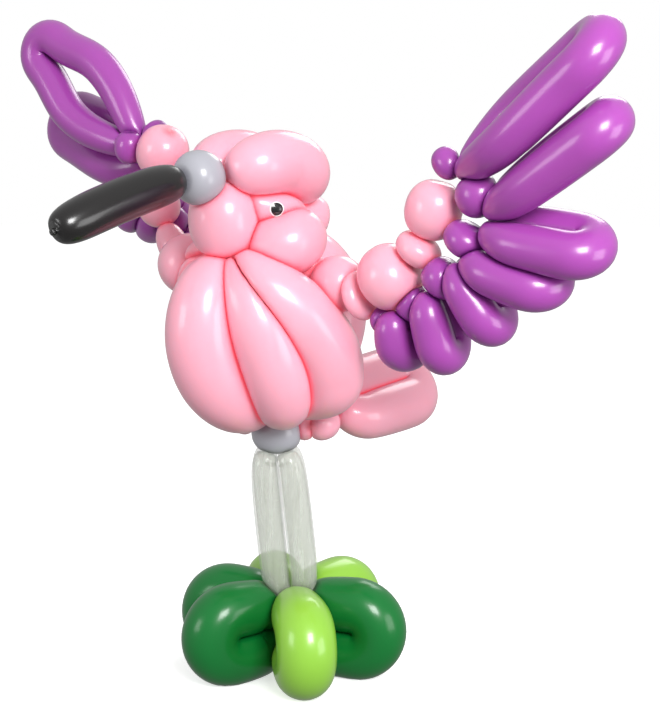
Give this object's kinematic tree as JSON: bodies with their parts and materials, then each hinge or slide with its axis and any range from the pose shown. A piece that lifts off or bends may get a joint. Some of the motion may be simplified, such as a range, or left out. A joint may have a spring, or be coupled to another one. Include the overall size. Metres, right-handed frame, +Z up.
{
  "type": "balloon bird figure",
  "caption": "Twisted-balloon bird with spread purple wings, a long black beak and a folded tail, on a clear post over a ring of green balloon petals.",
  "frame": {"origin": "middle of the underside's box, on the floor", "axes": "+Z up; the bird faces -Y and its left wing is on +X"},
  "size_m": [0.763, 0.5004, 0.7112],
  "materials": {
    "pink_latex": "glossy stretched latex",
    "purple_latex": "glossy stretched latex",
    "black_latex": "glossy stretched latex",
    "grey_latex": "glossy stretched latex",
    "dark_green_latex": "glossy stretched latex",
    "light_green_latex": "glossy stretched latex",
    "clear_latex": "clear stretched latex"
  },
  "bodies": {
    "root": {"base_petals_light": "light_green_latex", "base_petals_dark": "dark_green_latex", "post_tube_1": "clear_latex", "post_tube_2": "clear_latex", "post_tube_3": "clear_latex", "post_tube_4": "clear_latex", "hip_ball": "grey_latex", "body": "pink_latex", "tail": "pink_latex", "head": "pink_latex", "brows_and_nape": "pink_latex", "beak_ball": "grey_latex", "beak": "black_latex", "left_wing_arm": "pink_latex", "left_wing_tip_feathers": "purple_latex", "left_wing_middle_feathers": "purple_latex", "left_wing_inner_feathers": "purple_latex", "right_wing_arm": "pink_latex", "right_wing_tip_feathers": "purple_latex", "right_wing_middle_feathers": "purple_latex", "right_wing_inner_feathers": "purple_latex", "eye_left": "black_latex", "eye_right": "black_latex"}
  },
  "joints": []
}
